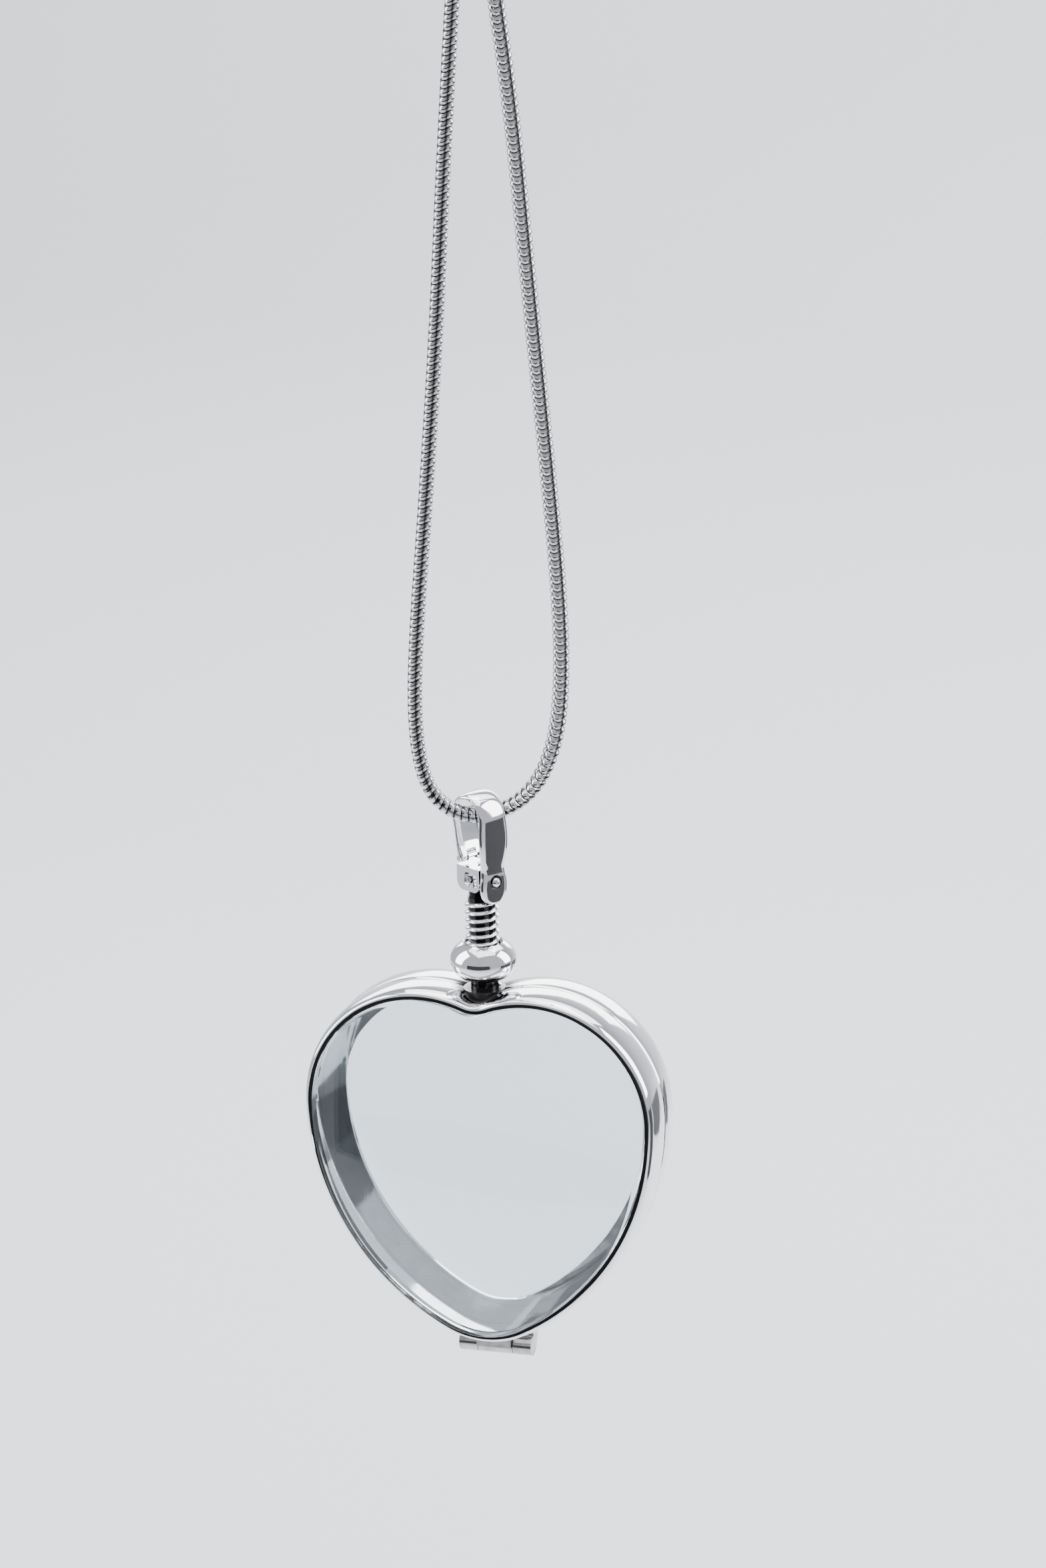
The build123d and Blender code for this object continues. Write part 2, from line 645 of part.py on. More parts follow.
write("snake_chain", chain_tube())
write("end_cap_left", end_cap(0))
write("end_cap_right", end_cap(1))
write("jump_ring_left", ring(LEFT_RING, LEFT_RING_RADIUS))
write("jump_ring_right", ring(right_ring_centre(), RIGHT_RING_RADIUS))
write("clasp_body", clasp_body())
write("clasp_lever", clasp_lever())
write("clasp_rivet", clasp_rivet())
print("hang point from the bail:", HANG_POINT)
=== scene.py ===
# %% [markdown]
# # A heart locket with clear crystals, on a snake chain
#
# The metal parts of this locket already exist as a CAD model, which carries the
# sizes, the joints and the names.  This lesson loads that model, rebuilds the
# polished and the clear pieces with smooth surfaces, gives every piece a
# finish, and sets up a small bright studio around them.  Everything is in
# metres, and every piece stays exactly where the CAD model has it.

# %% Load the CAD model
import json
from math import acos, atan2, cos, pi, radians, sin, sqrt

import bmesh
import bpy
from mathutils import Matrix, Vector


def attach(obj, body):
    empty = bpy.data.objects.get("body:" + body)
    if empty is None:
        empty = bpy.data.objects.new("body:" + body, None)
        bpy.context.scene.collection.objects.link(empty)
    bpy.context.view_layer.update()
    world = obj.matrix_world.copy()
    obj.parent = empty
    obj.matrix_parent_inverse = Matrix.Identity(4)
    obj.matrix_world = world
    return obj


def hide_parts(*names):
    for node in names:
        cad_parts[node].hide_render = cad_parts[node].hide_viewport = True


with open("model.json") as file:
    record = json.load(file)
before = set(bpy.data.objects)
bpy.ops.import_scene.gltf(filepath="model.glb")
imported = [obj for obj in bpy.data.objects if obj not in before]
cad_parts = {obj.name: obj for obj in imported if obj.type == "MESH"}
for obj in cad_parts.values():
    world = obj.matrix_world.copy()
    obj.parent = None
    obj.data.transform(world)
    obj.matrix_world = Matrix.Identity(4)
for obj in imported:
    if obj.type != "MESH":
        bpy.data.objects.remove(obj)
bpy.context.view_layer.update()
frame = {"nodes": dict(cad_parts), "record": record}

# %% [markdown]
# ## Where things are
#
# The necklace hangs from a ring, and the CAD model has its origin there.  The
# pendant is easier to think about from the place where its bail rests on the
# chain, so a small helper turns millimetres from that place into metres.

# %% Millimetres from the bail's place
HANG_POINT = Vector((1.42718, 1.15571, 85.5549))


def at(x, y, z):
    """A point given in millimetres from where the bail rests on the chain."""
    return (Vector((x, y, z)) - HANG_POINT) / 1000


MM = 0.001
print("bail rests at", tuple(round(v, 5) for v in at(0, 0, 0)))

# %% [markdown]
# ## The camera
#
# A product picture of jewellery is taken from a little above and a little to
# one side, with a long lens, so the heart keeps its proportions.  The camera
# goes about half a metre away, looks down by seventeen degrees, and leans two
# degrees sideways.

# %% Place the camera
AZIMUTH = radians(18.5)
ELEVATION = radians(17.3)
LEAN = radians(2.0)

back = Vector((sin(AZIMUTH) * cos(ELEVATION), -cos(AZIMUTH) * cos(ELEVATION), sin(ELEVATION)))
level = Vector((cos(AZIMUTH), sin(AZIMUTH), 0))
upright = back.cross(level)
camera_x = level * cos(LEAN) - upright * sin(LEAN)
camera_y = level * sin(LEAN) + upright * cos(LEAN)

camera_data = bpy.data.cameras.new("camera")
camera_data.sensor_fit = "VERTICAL"
camera_data.sensor_height = 36
camera_data.lens = 137.9
camera_data.clip_start = 0.01
camera = bpy.data.objects.new("camera", camera_data)
bpy.context.scene.collection.objects.link(camera)
turn = Matrix((camera_x, camera_y, back)).transposed().to_4x4()
camera.matrix_world = Matrix.Translation(at(151.55, -441.18, 147.59)) @ turn
bpy.context.scene.camera = camera
print("camera at", tuple(round(v, 4) for v in camera.location))

# %% [markdown]
# ## Small helpers
#
# Each new piece starts as a bmesh, which is Blender's editable mesh.  These
# helpers turn a finished bmesh into an object, smooth its faces except where
# they meet at a sharp angle, and say which CAD body it moves with.

# %% Helpers that finish a piece
pieces = {}


def finish_mesh(bm, name, sharp=40):
    """Turn a bmesh into an object with smooth faces and sharp corners."""
    bmesh.ops.remove_doubles(bm, verts=bm.verts, dist=1e-7)
    bmesh.ops.recalc_face_normals(bm, faces=bm.faces)
    closed = all(len(edge.link_faces) == 2 for edge in bm.edges)
    if closed and bm.calc_volume(signed=True) < 0:
        bmesh.ops.reverse_faces(bm, faces=bm.faces)
    for face in bm.faces:
        face.smooth = True
    limit = radians(sharp)
    for edge in bm.edges:
        if len(edge.link_faces) == 2 and edge.calc_face_angle(0) > limit:
            edge.smooth = False
    mesh = bpy.data.meshes.new(name)
    bm.to_mesh(mesh)
    bm.free()
    piece = bpy.data.objects.new(name, mesh)
    bpy.context.scene.collection.objects.link(piece)
    pieces[name] = piece
    return piece


def place(piece, body, node):
    """Let a piece move with its body and stand for a CAD node."""
    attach(piece, body)
    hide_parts(*node.split())
    print(piece.name, "stands for", node, "with", len(piece.data.polygons), "faces")

# %% [markdown]
# ## The chain
#
# The real chain is a square snake chain: a stack of little wavy rings, each
# pressed from sheet so that it nests in the next one.  The line that it hangs
# in comes first.  A NURBS curve with a few control points bends softly, as a
# chain does under the weight of a pendant.

# %% The line that the chain hangs in
CHAIN_TURN = radians(39)
CHAIN_ROUTE = [
    (0.66, 69.55),
    (-0.75, 55.5),
    (-1.95, 41.0),
    (-3.45, 26.8),
    (-4.95, 13.8),
    (-5.15, 6.8),
    (-4.25, 2.4),
    (-1.75, -0.02),
    (1.9, -0.35),
    (5.0, 1.2),
    (6.95, 4.8),
    (7.75, 10.5),
    (7.65, 18.8),
    (6.8, 31.5),
    (5.85, 44.5),
    (5.0, 57.5),
    (3.55, 70.0),
    (2.95, 78.75),
]


def on_chain(along, height):
    """A point in the upright plane that the chain hangs in."""
    return at(along * cos(CHAIN_TURN), along * sin(CHAIN_TURN), height)


line_data = bpy.data.curves.new("chain_line", "CURVE")
line_data.dimensions = "3D"
line_data.resolution_u = 24
spline = line_data.splines.new("NURBS")
spline.points.add(len(CHAIN_ROUTE) - 1)
for point, place_on_route in zip(spline.points, CHAIN_ROUTE):
    point.co = (*on_chain(*place_on_route), 1)
spline.order_u = 3
spline.use_endpoint_u = True
line = bpy.data.objects.new("chain_line", line_data)
bpy.context.scene.collection.objects.link(line)
line_mesh = bpy.data.meshes.new_from_object(line)
chain_points = [vertex.co.copy() for vertex in line_mesh.vertices]
bpy.data.objects.remove(line)

# %% [markdown]
# One ring of the chain is a short tube whose middle bulges.  Its edge waves up
# and down twice on the way round, and it is pinched at four places, so four
# rows of small scales run along the chain.  It is made once, and then set down
# again and again along the line.  There are a few hundred rings, so each one
# has only a few dozen faces.

# %% Make one ring and thread the rings along the line
CHAIN_DIAMETER = 1.42 * MM
RING_PITCH = 0.65 * MM
RING_SIDES = 16
SCALE_TURN = radians(62)


def ring_of_chain():
    """One wavy ring of the chain around Z, as a mesh."""
    bm = bmesh.new()
    radius = CHAIN_DIAMETER / 2
    rows = [(-0.50, 0.80), (-0.30, 0.97), (0.0, 1.0), (0.34, 0.93), (0.55, 0.66)]
    loop = bmesh.ops.create_circle(bm, segments=RING_SIDES, radius=radius)["verts"]
    bmesh.ops.translate(bm, verts=loop, vec=(0, 0, rows[0][0] * RING_PITCH))
    bmesh.ops.scale(bm, verts=loop, vec=(rows[0][1], rows[0][1], 1))
    edges = list(bm.edges)
    for before, here in zip(rows, rows[1:]):
        grown = bmesh.ops.extrude_edge_only(bm, edges=edges)["geom"]
        loop = [item for item in grown if isinstance(item, bmesh.types.BMVert)]
        edges = [item for item in grown if isinstance(item, bmesh.types.BMEdge)]
        wider = here[1] / before[1]
        bmesh.ops.translate(bm, verts=loop, vec=(0, 0, (here[0] - before[0]) * RING_PITCH))
        bmesh.ops.scale(bm, verts=loop, vec=(wider, wider, 1))
    # Painted shade: a mask that is high in the grooves between the rows of scales and at the
    # ring's ends, where the rings nest.
    valley_shade = bm.verts.layers.float.new("valley_shade")
    for vertex in bm.verts:
        angle = atan2(vertex.co.y, vertex.co.x)
        groove = sin(2 * angle) ** 2
        edge = abs(vertex.co.z / RING_PITCH) / 0.5
        vertex[valley_shade] = min(1.0, max(groove**3, edge**2))
        pinch = 1 - 0.14 * groove
        vertex.co.x *= pinch
        vertex.co.y *= pinch
        vertex.co.z += 0.25 * RING_PITCH * cos(2 * angle)
    for face in bm.faces:
        face.smooth = True
    mesh = bpy.data.meshes.new("chain_ring")
    bm.to_mesh(mesh)
    bm.free()
    return mesh


def stations(points, spacing):
    """Places at even spacing along a line, each with its direction."""
    travelled = 0.0
    wanted = spacing / 2
    found = []
    for start, end in zip(points, points[1:]):
        run = (end - start).length
        while run > 0 and wanted <= travelled + run:
            found.append((start.lerp(end, (wanted - travelled) / run), (end - start).normalized()))
            wanted += spacing
        travelled += run
    return found


def chain_of_rings():
    """The whole chain as one mesh of nested rings."""
    bm = bmesh.new()
    bm.verts.layers.float.new("valley_shade")
    one = ring_of_chain()
    side = Vector((-sin(CHAIN_TURN), cos(CHAIN_TURN), 0))
    for spot, heading in stations(chain_points, RING_PITCH):
        across = heading.cross(side).normalized()
        turned = Matrix((side, across, heading)).transposed().to_4x4()
        count = len(bm.verts)
        bm.from_mesh(one)
        bm.verts.ensure_lookup_table()
        settle = Matrix.Translation(spot) @ turned @ Matrix.Rotation(SCALE_TURN, 4, "Z")
        bmesh.ops.transform(bm, matrix=settle, verts=bm.verts[count:])
    return bm


chain = finish_mesh(chain_of_rings(), "snake_chain_rings", sharp=80)
place(chain, "chain", "snake_chain")

# %% [markdown]

# %% [markdown]
# ## The heart
#
# Every part of the case is a heart: the frames, the crystals and the seals.
# A heart is four arcs on each side.  A vertex spun round a centre draws an arc,
# and if only the radius changes, the same arcs draw a larger or a smaller heart
# with the same number of vertices.  So each part is a few hearts, one behind
# the other, with faces bridged between them.

# %% The arcs of the heart, in millimetres from the bail
LOBE_RADIUS = 10.0
LOBE = Vector((4.7, 0, -25.15))
NOTCH_Z = -16.05
TIP_Z = -44.95
TIP_RADIUS = 7.0
HALF_DEPTH = 3.3
SEAM = 0.015
SEAT = 2.35

tip = Vector((0, 0, TIP_Z + TIP_RADIUS))
reach = LOBE.x + LOBE_RADIUS
drop = LOBE.z - tip.z
FLANK_RADIUS = (reach**2 + drop**2 - TIP_RADIUS**2) / (2 * (reach - TIP_RADIUS))
flank = Vector((reach - FLANK_RADIUS, 0, LOBE.z))
rise = NOTCH_Z - LOBE.z
HOLLOW_RADIUS = (LOBE_RADIUS**2 - LOBE.x**2 - rise**2) / (2 * (rise - LOBE_RADIUS))
hollow = Vector((0, 0, NOTCH_Z + HOLLOW_RADIUS))
to_lobe = (LOBE - hollow).normalized()
to_tip = (tip - flank).normalized()
hollow_turn = acos(-to_lobe.z)
lobe_turn = acos((-to_lobe).x)
flank_turn = acos(to_tip.x)
tip_turn = pi / 2 - flank_turn
ARCS = [
    (hollow, -hollow_turn, 8),
    (LOBE, lobe_turn, 40),
    (flank, flank_turn, 26),
    (tip, tip_turn, 14),
]
print("flank radius", round(FLANK_RADIUS, 2), "mm, hollow radius", round(HOLLOW_RADIUS, 2), "mm")


# %% Draw one heart, and a wall between two hearts
def heart_loop(bm, offset, depth, size=1.0, middle=Vector((0, 0, -28))):
    """A closed loop of edges in the shape of the heart, grown by offset."""
    old = set(bm.edges)
    start = bmesh.ops.create_vert(bm, co=(0, depth, NOTCH_Z + offset))["vert"]
    last = list(start)
    for centre, angle, count in ARCS:
        around = Vector((centre.x, depth, centre.z))
        spun = bmesh.ops.spin(bm, geom=last, cent=around, axis=(0, 1, 0), angle=angle, steps=count)
        last = [item for item in spun["geom_last"] if isinstance(item, bmesh.types.BMVert)]
    half = [edge for edge in bm.edges if edge not in old]
    corners = list({vertex for edge in half for vertex in edge.verts})
    bmesh.ops.mirror(bm, geom=half + corners, axis="X", merge_dist=0.001)
    loop = [edge for edge in bm.edges if edge not in old]
    corners = list({vertex for edge in loop for vertex in edge.verts})
    bmesh.ops.scale(bm, vec=(size, 1, size), verts=corners, space=Matrix.Translation(-middle))
    return loop


def heart_walls(bm, section, closed=False):
    """Bridge faces between the hearts of a section, given as (offset, depth)."""
    # Two hearts in one plane can be bridged with a half turn between them, so
    # the hearts stand well apart while the faces are made.
    loops = [heart_loop(bm, offset, 5.0 * step) for step, (offset, _) in enumerate(section)]
    pairs = list(zip(loops, loops[1:]))
    if closed:
        pairs.append((loops[-1], loops[0]))
    for before, here in pairs:
        bmesh.ops.bridge_loops(bm, edges=before + here)
    for loop, (_, depth) in zip(loops, section):
        for vertex in {vertex for edge in loop for vertex in edge.verts}:
            vertex.co.y = depth
    return loops


def to_place(bm):
    """Move a bmesh from millimetres at the bail to metres in the frame."""
    bmesh.ops.translate(bm, verts=bm.verts, vec=-HANG_POINT)
    bmesh.ops.scale(bm, verts=bm.verts, vec=(MM, MM, MM))


# %% [markdown]
# ## The two frames
#
# The frame is cast silver: a wall that bulges softly, a rounded lip, and a
# step that the crystal sits on.  The section is drawn once.  The rear frame is
# the same section turned over, with a flat shelf added inside.

# %% Make the frames
OUTER_WALL = [
    (0.44, -SEAM),
    (0.5, -0.09),
    (0.54, -0.28),
    (0.565, -0.7),
    (0.565, -1.2),
    (0.545, -1.75),
    (0.5, -2.25),
    (0.43, -2.65),
    (0.33, -2.98),
    (0.22, -3.18),
    (0.11, -3.28),
    (0.03, -HALF_DEPTH),
]


def lip_section():
    """The softly bulging outer wall, from the seam to the crystal's step."""
    return OUTER_WALL + [(0.0, -HALF_DEPTH + 0.03), (0.0, -SEAT)]


def frame_mesh(shelf):
    """One frame; shelf is the section of what stands inside the step."""
    section = lip_section() + shelf
    bm = bmesh.new()
    heart_walls(bm, section, closed=True)
    return bm


front_bm = frame_mesh([(-0.35, -SEAT), (-0.35, -1.2), (-0.35, -SEAM)])
to_place(front_bm)
front = finish_mesh(front_bm, "front_heart_frame", sharp=35)
place(front, "front_half", "front_frame")

shelf = [
    (-1.66, -SEAT),
    (-1.7, -SEAT + 0.04),
    (-1.7, -1.99),
    (-1.66, -1.95),
    (-0.35, -1.95),
    (-0.35, -SEAM),
]
rear_bm = frame_mesh(shelf)
bmesh.ops.scale(rear_bm, verts=rear_bm.verts, vec=(1, -1, 1))
to_place(rear_bm)
rear = finish_mesh(rear_bm, "rear_heart_frame", sharp=35)
place(rear, "rear_half", "rear_frame")

# %% [markdown]
# ## The crystals
#
# Each crystal is a clear domed shell, ground to a heart, with a flat foot that
# sits on the step.  The dome is part of a large sphere.  Rings of the heart
# shrink towards the middle, and each ring's vertices are then laid on the
# sphere, once for the outside and once, nearer its centre, for the inside.

# %% Make the crystals
DOME_RADIUS = 70.0
DOME_CENTRE = Vector((0, 64.8, -30.5))
CRYSTAL_THICK = 1.1
GASKET = 0.3
FOOT = 0.6
BEVEL = 0.16
DOME_STEPS = (0.985, 0.94, 0.86, 0.76, 0.65, 0.54, 0.43, 0.32, 0.21, 0.1)


def lay_on_sphere(loop, radius):
    """Move a loop's vertices along Y onto a sphere about the dome's centre."""
    for vertex in {vertex for edge in loop for vertex in edge.verts}:
        away = (vertex.co.x - DOME_CENTRE.x) ** 2 + (vertex.co.z - DOME_CENTRE.z) ** 2
        vertex.co.y = DOME_CENTRE.y - sqrt(radius**2 - away)


def dome(bm, rim, offset, radius):
    """Close a heart rim with a domed face made of ever smaller hearts."""
    before = rim
    for size in DOME_STEPS:
        loop = heart_loop(bm, offset, 0, size)
        lay_on_sphere(loop, radius)
        bmesh.ops.bridge_loops(bm, edges=before + loop)
        before = loop
    bmesh.ops.triangle_fill(bm, edges=before, use_beauty=True)


def crystal_mesh():
    """The front crystal: foot, ground edge, outer dome and inner dome."""
    bm = bmesh.new()
    edge_in = -GASKET - BEVEL
    loops = heart_walls(bm, [(-FOOT, -SEAT), (-GASKET, -SEAT), (-GASKET, -3.15)])
    outer = heart_loop(bm, edge_in, 0)
    lay_on_sphere(outer, DOME_RADIUS)
    shoulder = heart_loop(bm, -GASKET - 0.05, 0)
    lay_on_sphere(shoulder, DOME_RADIUS - 0.06)
    bmesh.ops.bridge_loops(bm, edges=loops[-1] + shoulder)
    bmesh.ops.bridge_loops(bm, edges=shoulder + outer)
    dome(bm, outer, edge_in, DOME_RADIUS)
    inner = heart_loop(bm, -FOOT - 0.05, 0)
    lay_on_sphere(inner, DOME_RADIUS - CRYSTAL_THICK)
    bmesh.ops.bridge_loops(bm, edges=loops[0] + inner)
    dome(bm, inner, -FOOT - 0.05, DOME_RADIUS - CRYSTAL_THICK)
    return bm


for side, body, node in ((1, "front_half", "front_crystal"), (-1, "rear_half", "rear_crystal")):
    glass_bm = crystal_mesh()
    bmesh.ops.scale(glass_bm, verts=glass_bm.verts, vec=(1, side, 1))
    to_place(glass_bm)
    glass = finish_mesh(glass_bm, node.replace("crystal", "glass_heart"), sharp=30)
    place(glass, body, node)

# %% [markdown]
# A thin dark seal fills the gap between each crystal and its frame.

# %% Make the seals
SEAL_SECTION = [
    (0, -SEAT),
    (0, -3.2),
    (-0.05, -3.24),
    (-0.24, -3.24),
    (-GASKET, -3.2),
    (-GASKET, -SEAT),
]

for side, body in ((1, "front_half"), (-1, "rear_half")):
    node = body.replace("half", "crystal_gasket")
    seal_bm = bmesh.new()
    heart_walls(seal_bm, SEAL_SECTION, closed=True)
    bmesh.ops.scale(seal_bm, verts=seal_bm.verts, vec=(1, side, 1))
    to_place(seal_bm)
    seal = finish_mesh(seal_bm, node.replace("_crystal_gasket", "_seal"), sharp=30)
    place(seal, body, node)

# %% [markdown]
# ## The ball
#
# The ball is a nut: it screws down over the stud and clamps the two halves of
# the case together.  Its section is half of a flattened circle with a bore and
# a wider room for the thread inside, and a full spin turns it into the ball.

# %% Spin the ball
BALL_RADIUS = 2.8
BALL_FLAT = 1.95 / 2.8
BALL_Z = -12.6
BORE = 1.6
NUT_ROOM = 2.05
NUT_HALF = 0.95


def ball_mesh():
    """The ball's closed section, spun round the stud."""
    bm = bmesh.new()
    mouth = acos((BORE + 0.08) / BALL_RADIUS)
    first = Vector((BALL_RADIUS * cos(mouth), 0, BALL_RADIUS * sin(mouth)))
    start = bmesh.ops.create_vert(bm, co=first)["vert"]
    arc = bmesh.ops.spin(bm, geom=start, cent=(0, 0, 0), axis=(0, 1, 0), angle=2 * mouth, steps=40)
    end = [item for item in arc["geom_last"] if isinstance(item, bmesh.types.BMVert)]
    bmesh.ops.scale(bm, verts=bm.verts, vec=(1, 1, BALL_FLAT))
    top = start[0].co.z - 0.07
    lower = [(BORE, -top), (BORE, -NUT_HALF), (NUT_ROOM, -NUT_HALF)]
    upper = [(NUT_ROOM, NUT_HALF), (BORE, NUT_HALF), (BORE, top)]
    walk = end[0]
    for radius, height in lower + upper:
        corner = bmesh.ops.create_vert(bm, co=(radius, 0, height))["vert"][0]
        bm.edges.new((walk, corner))
        walk = corner
    bm.edges.new((walk, start[0]))
    section = list(bm.verts) + list(bm.edges)
    turn_round = {"cent": (0, 0, 0), "axis": (0, 0, 1), "angle": 2 * pi, "steps": 96}
    bmesh.ops.spin(bm, geom=section, use_merge=True, **turn_round)
    bmesh.ops.translate(bm, verts=bm.verts, vec=(0, 0, BALL_Z))
    return bm


ball_bm = ball_mesh()
to_place(ball_bm)
ball = finish_mesh(ball_bm, "screw_ball", sharp=40)
place(ball, "ball", "ball_shell")

# %% [markdown]
# ## The bail
#
# The bail is one strap of silver, bent over the chain: a back leg, a round
# crown, a bowed front leg and a round foot.  A few cross-sections are set along
# its line, faces are bridged between them, and a subdivision modifier rounds
# the strap the way polishing does.  A boolean modifier then cuts the hole for
# the catch ball and the slot for the hinge.

# %% Sections of the bail along its line
BAIL_TURN = radians(-31.5)
CROWN_Z = -0.2
CROWN_LINE = 1.815
BACK_LEG = [
    (-1.3, -4.32, 1.15, 0.5),
    (-1.33, -3.95, 1.2, 0.88),
    (-1.4, -3.5, 1.2, 0.72),
    (-1.53, -2.9, 1.2, 0.48),
    (-1.66, -1.6, 1.22, 0.46),
    (-1.76, -0.6, 1.36, 0.46),
]
FRONT_LEG = [
    (1.8, -0.9, 1.48, 0.46),
    (1.87, -2.0, 1.55, 0.46),
    (1.83, -3.1, 1.42, 0.46),
    (1.7, -4.0, 1.28, 0.46),
    (1.57, -4.55, 1.22, 0.48),
    (1.62, -5.0, 1.26, 0.48),
    (1.67, -5.5, 1.38, 0.48),
    (1.67, -6.1, 1.44, 0.48),
    (1.67, -6.7, 1.32, 0.48),
    (1.67, -7.15, 0.98, 0.46),
    (1.67, -7.42, 0.5, 0.4),
]
CROWN_STEPS = 8
CROWN_HALF_WIDTH = 1.38
STRAP_THICK = 0.46
STRAP_SIDES = [
    (-0.5, 0.62),
    (0.5, 0.62),
    (0.98, 0.3),
    (1.0, -0.3),
    (0.9, -0.5),
    (-0.9, -0.5),
    (-1.0, -0.3),
    (-0.98, 0.3),
]


def bail_line():
    """Sections of the bail as (x, z, half width, thickness), back to front."""
    crown = []
    for step in range(CROWN_STEPS + 1):
        angle = pi - pi * step / CROWN_STEPS
        along = CROWN_LINE * cos(angle)
        height = CROWN_Z + CROWN_LINE * sin(angle)
        crown.append((along, height, CROWN_HALF_WIDTH, STRAP_THICK))
    return BACK_LEG + crown + FRONT_LEG


def bail_section(bm, here, heading):
    """One loop across the strap, a little fuller on its outer side."""
    x, z, half_width, thick = here
    outward = Vector((-heading.z, 0, heading.x))
    loop = []
    for aside, out in STRAP_SIDES:
        spot = Vector((x, aside * half_width, z)) + outward * out * thick
        loop.append(bmesh.ops.create_vert(bm, co=spot)["vert"][0])
    return [bm.edges.new((a, b)) for a, b in zip(loop, loop[1:] + loop[:1])]


def bail_mesh():
    """The strap as bridged sections with closed ends."""
    bm = bmesh.new()
    line = bail_line()
    loops = []
    for index, here in enumerate(line):
        before = line[max(index - 1, 0)]
        after = line[min(index + 1, len(line) - 1)]
        heading = Vector((after[0] - before[0], 0, after[1] - before[1])).normalized()
        loops.append(bail_section(bm, here, heading))
    for before, here in zip(loops, loops[1:]):
        bmesh.ops.bridge_loops(bm, edges=before + here)
    for end in (loops[0], loops[-1]):
        bmesh.ops.contextual_create(bm, geom=end)
    return bm


# %% Cut the bail and set it in place
CATCH_Z = -5.55
CATCH_HOLE = 0.6
FORK = Vector((-1.3, 0, -3.95))
FORK_ROOM = 0.7
FORK_HALF = 0.5


def round_bar(bm, radius, depth, axis, spot):
    """Add a closed round bar that lies along X or Y."""
    size = {"radius1": radius, "radius2": radius, "depth": depth}
    bar = bmesh.ops.create_cone(bm, cap_ends=True, segments=48, **size)["verts"]
    bmesh.ops.rotate(bm, verts=bar, matrix=Matrix.Rotation(pi / 2, 3, axis))
    bmesh.ops.translate(bm, verts=bar, vec=spot)


def cutter_mesh():
    """A rod for the catch ball's hole and a disc for the hinge's slot."""
    bm = bmesh.new()
    round_bar(bm, CATCH_HOLE, 2, "Y", (1.75, 0, CATCH_Z))
    round_bar(bm, FORK_ROOM, 2 * FORK_HALF, "X", FORK)
    return bm


def bail_to_place(bm):
    """Turn a bmesh from facing +X to the bail's place in the frame."""
    bmesh.ops.rotate(bm, verts=bm.verts, matrix=Matrix.Rotation(BAIL_TURN, 3, "Z"))
    to_place(bm)


def shaped(piece, cutter):
    """The piece's mesh after subdivision and cutting, as a bmesh."""
    smooth = piece.modifiers.new("round", "SUBSURF")
    smooth.levels = 3
    smooth.render_levels = 3
    cut = piece.modifiers.new("holes", "BOOLEAN")
    cut.operation = "DIFFERENCE"
    cut.solver = "EXACT"
    cut.object = cutter
    seen = piece.evaluated_get(bpy.context.evaluated_depsgraph_get())
    bm = bmesh.new()
    bm.from_mesh(seen.to_mesh())
    for thing in (piece, cutter):
        pieces.pop(thing.name)
        bpy.data.objects.remove(thing)
    return bm


strap_bm = bail_mesh()
bail_to_place(strap_bm)
strap = finish_mesh(strap_bm, "strap_blank", sharp=80)
cutter_bm = cutter_mesh()
bail_to_place(cutter_bm)
cutter = finish_mesh(cutter_bm, "strap_cutter")
bail = finish_mesh(shaped(strap, cutter), "polished_bail", sharp=40)
place(bail, "bail", "bail_strap")

# %% [markdown]
# ## The finishes
#
# Polished silver is almost a mirror, so most of what shows is the studio.  What
# makes it look real is small: a haze of fine scratches from a polishing cloth,
# and places that are a little less bright.  That haze is used by every metal
# here, so it is a shader node group with its own sockets.

# %% A node group for the haze of a polished surface
def new_group(name, inputs, outputs):
    """An empty shader node group with named sockets."""
    group = bpy.data.node_groups.new(name, "ShaderNodeTree")
    for label, default in inputs:
        socket = group.interface.new_socket(label, in_out="INPUT", socket_type="NodeSocketFloat")
        socket.default_value = default
    for label, kind in outputs:
        group.interface.new_socket(label, in_out="OUTPUT", socket_type=kind)
    return group, group.nodes.new("NodeGroupInput"), group.nodes.new("NodeGroupOutput")


